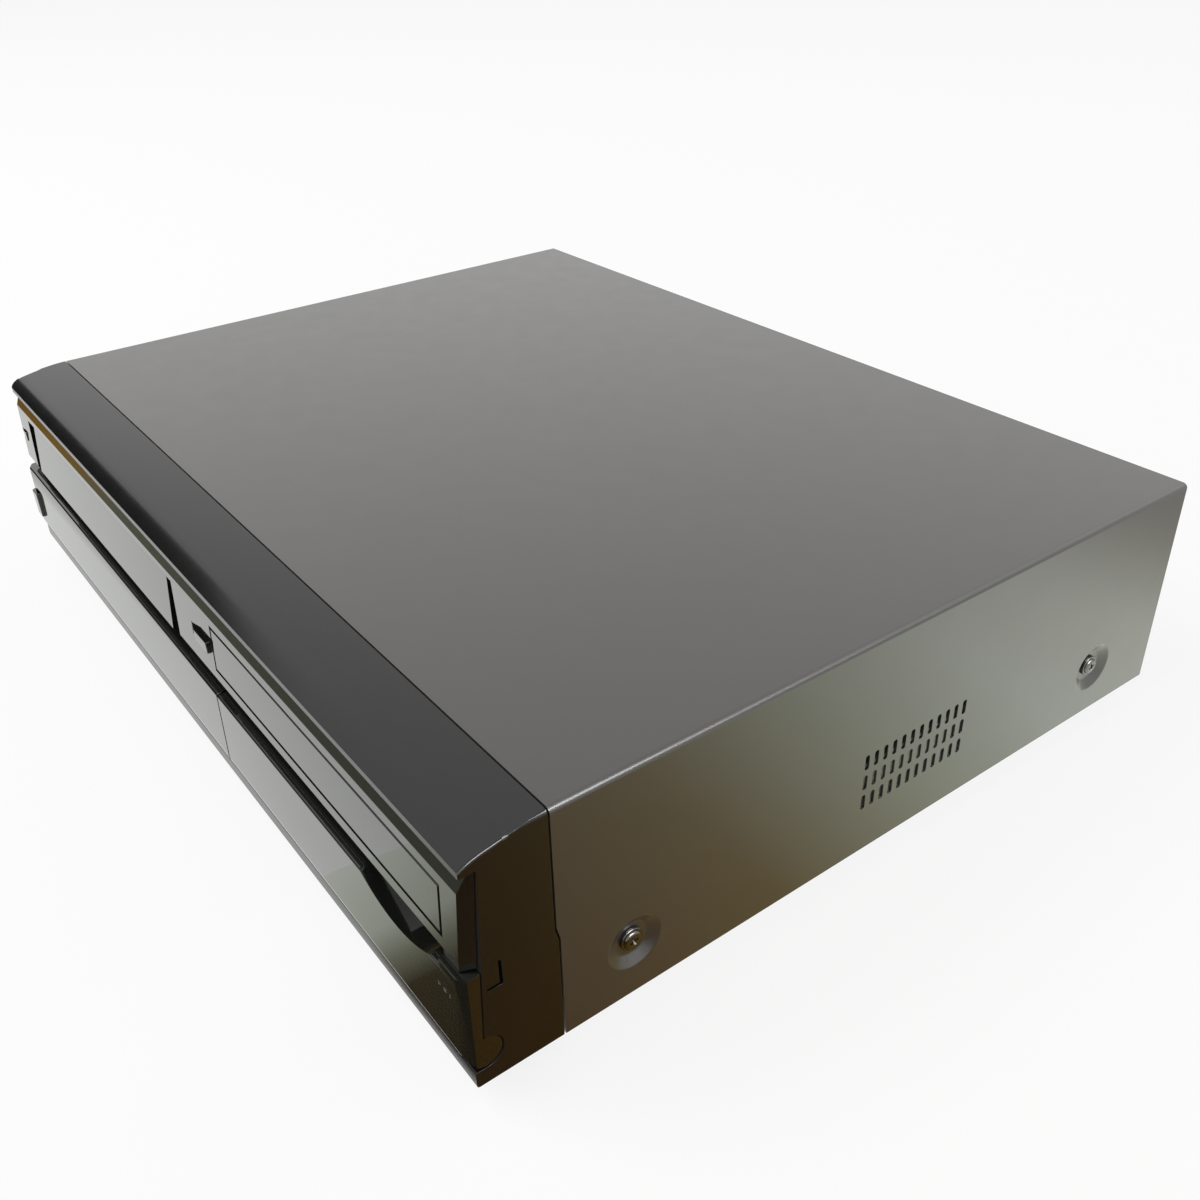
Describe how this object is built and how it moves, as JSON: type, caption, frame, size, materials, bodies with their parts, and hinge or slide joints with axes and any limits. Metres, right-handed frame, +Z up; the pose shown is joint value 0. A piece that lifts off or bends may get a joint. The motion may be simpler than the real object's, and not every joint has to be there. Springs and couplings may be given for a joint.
{
  "type": "disc and cassette combination player",
  "caption": "Full-width disc and video cassette player with a disc tray, an inward cassette flap and a flip-down lower door.",
  "frame": {"origin": "middle of the bounding box, on the surface under the feet", "axes": "+Z up, the front faces -Y, +X to the right seen from the front"},
  "size_m": [0.43, 0.3424, 0.099],
  "materials": {
    "cover_paint": "fine satin paint",
    "zinc_sheet": "zinc plated sheet",
    "dark_front": "satin moulding",
    "gloss_front": "high gloss moulding",
    "black_moulding": "matt moulding",
    "foot_rubber": "matt rubber",
    "board": "laminated board",
    "turned_steel": "turned and ground",
    "cast_alloy": "cast alloy",
    "pale_moulding": "self-lubricating moulding"
  },
  "bodies": {
    "housing": {"ac_inlet": "black_moulding", "antenna_block": "zinc_sheet", "base_pan": "zinc_sheet", "clamp_puck": "pale_moulding", "cover_screw_1": "zinc_sheet", "cover_screw_2": "zinc_sheet", "cover_screw_3": "zinc_sheet", "cover_screw_4": "zinc_sheet", "deck_chassis": "zinc_sheet", "disk_bracket": "zinc_sheet", "display_module": "black_moulding", "display_window": "gloss_front", "drive_case": "black_moulding", "drive_cover": "zinc_sheet", "drum_base": "cast_alloy", "fan_frame": "black_moulding", "foot_1": "foot_rubber", "foot_2": "foot_rubber", "foot_3": "foot_rubber", "foot_4": "foot_rubber", "front_board": "board", "front_fascia": "dark_front", "front_jack_panel": "black_moulding", "front_jacks": "black_moulding", "hard_disk": "cast_alloy", "hdmi_socket": "zinc_sheet", "key_board": "board", "lan_socket": "zinc_sheet", "loading_motor": "zinc_sheet", "main_board": "board", "power_board": "board", "rca_block": "black_moulding", "rear_panel": "cover_paint", "top_cover": "cover_paint", "traverse": "zinc_sheet", "upper_front_panel": "gloss_front"},
    "door": {"lower_door": "gloss_front"},
    "flap": {"cassette_flap": "gloss_front"},
    "tray": {"disc_tray": "black_moulding", "tray_bezel": "gloss_front"},
    "pinion": {"tray_pinion": "pale_moulding"},
    "turntable": {"turntable": "black_moulding"},
    "sled": {"pickup_sled": "dark_front"},
    "carrier": {"cassette_carrier": "zinc_sheet"},
    "head_drum": {"head_drum": "cast_alloy"},
    "capstan": {"capstan": "turned_steel"},
    "pinch_roller": {"pinch_roller": "foot_rubber"},
    "supply_reel": {"supply_reel": "dark_front"},
    "takeup_reel": {"takeup_reel": "dark_front"},
    "fan_rotor": {"fan_rotor": "dark_front"},
    "open_close_button": {"open_close_button": "gloss_front"},
    "eject_button": {"eject_button": "gloss_front"},
    "power_button": {"power_button": "gloss_front"},
    "key_1": {"key_1": "dark_front"},
    "key_2": {"key_2": "dark_front"},
    "key_3": {"key_3": "dark_front"},
    "key_4": {"key_4": "dark_front"}
  },
  "joints": [
    {"name": "door_hinge", "type": "hinge", "parent": "housing", "child": "door", "pos_m": [0.12035, -0.16421, 0.0216], "axis": [1, 0, 0], "range_deg": [0, 90]},
    {"name": "flap_hinge", "type": "hinge", "parent": "housing", "child": "flap", "pos_m": [-0.10205, -0.16411, 0.0781], "axis": [1, 0, 0], "range_deg": [0, 88], "stiffness_Nm_per_rad": 0.01, "springref_deg": -11.46},
    {"name": "tray_slide", "type": "slide", "parent": "housing", "child": "tray", "axis": [0, -1, 0], "range_m": [0, 0.133]},
    {"name": "pinion_spin", "type": "hinge", "parent": "housing", "child": "pinion", "pos_m": [0.06985, -0.14638, 0.065], "axis": [0, 0, 1], "range_deg": [0, 1089.6]},
    {"name": "turntable_spin", "type": "hinge", "parent": "housing", "child": "turntable", "pos_m": [0.12035, -0.0975, 0.059], "axis": [0, 0, 1], "continuous": true},
    {"name": "sled_slide", "type": "slide", "parent": "housing", "child": "sled", "axis": [0, 1, 0], "range_m": [0, 0.034]},
    {"name": "carrier_drop", "type": "slide", "parent": "housing", "child": "carrier", "axis": [0, 0, -1], "range_m": [0, 0.022]},
    {"name": "drum_spin", "type": "hinge", "parent": "housing", "child": "head_drum", "pos_m": [-0.10205, 0.00534, 0.03714], "axis": [0, 0.1045, 0.9945], "continuous": true},
    {"name": "capstan_spin", "type": "hinge", "parent": "housing", "child": "capstan", "pos_m": [-0.05205, -0.01981, 0.0202], "axis": [0, 0, 1], "continuous": true},
    {"name": "roller_spin", "type": "hinge", "parent": "housing", "child": "pinch_roller", "pos_m": [-0.04325, -0.01981, 0.0332], "axis": [0, 0, 1], "continuous": true},
    {"name": "supply_spin", "type": "hinge", "parent": "housing", "child": "supply_reel", "pos_m": [-0.14845, -0.08582, 0.0202], "axis": [0, 0, 1], "continuous": true},
    {"name": "takeup_spin", "type": "hinge", "parent": "housing", "child": "takeup_reel", "pos_m": [-0.05565, -0.08582, 0.0202], "axis": [0, 0, 1], "continuous": true},
    {"name": "fan_spin", "type": "hinge", "parent": "housing", "child": "fan_rotor", "pos_m": [-0.065, 0.15238, 0.055], "axis": [0, 1, 0], "continuous": true},
    {"name": "open_close_press", "type": "slide", "parent": "housing", "child": "open_close_button", "axis": [0, 1, 0], "range_m": [0, 0.0008], "stiffness_N_per_m": 500},
    {"name": "eject_press", "type": "slide", "parent": "housing", "child": "eject_button", "axis": [0, 1, 0], "range_m": [0, 0.0008], "stiffness_N_per_m": 500},
    {"name": "power_press", "type": "slide", "parent": "housing", "child": "power_button", "axis": [0, 1, 0], "range_m": [0, 0.0008], "stiffness_N_per_m": 500},
    {"name": "key_1_press", "type": "slide", "parent": "housing", "child": "key_1", "axis": [0, 1, 0], "range_m": [0, 0.0008], "stiffness_N_per_m": 500},
    {"name": "key_2_press", "type": "slide", "parent": "housing", "child": "key_2", "axis": [0, 1, 0], "range_m": [0, 0.0008], "stiffness_N_per_m": 500},
    {"name": "key_3_press", "type": "slide", "parent": "housing", "child": "key_3", "axis": [0, 1, 0], "range_m": [0, 0.0008], "stiffness_N_per_m": 500},
    {"name": "key_4_press", "type": "slide", "parent": "housing", "child": "key_4", "axis": [0, 1, 0], "range_m": [0, 0.0008], "stiffness_N_per_m": 500}
  ],
  "couplings": [
    {"joint": "pinion_spin", "follows": "tray_slide", "rad_per_m": 142.86},
    {"joint": "roller_spin", "follows": "capstan_spin", "ratio": -0.21429}
  ]
}
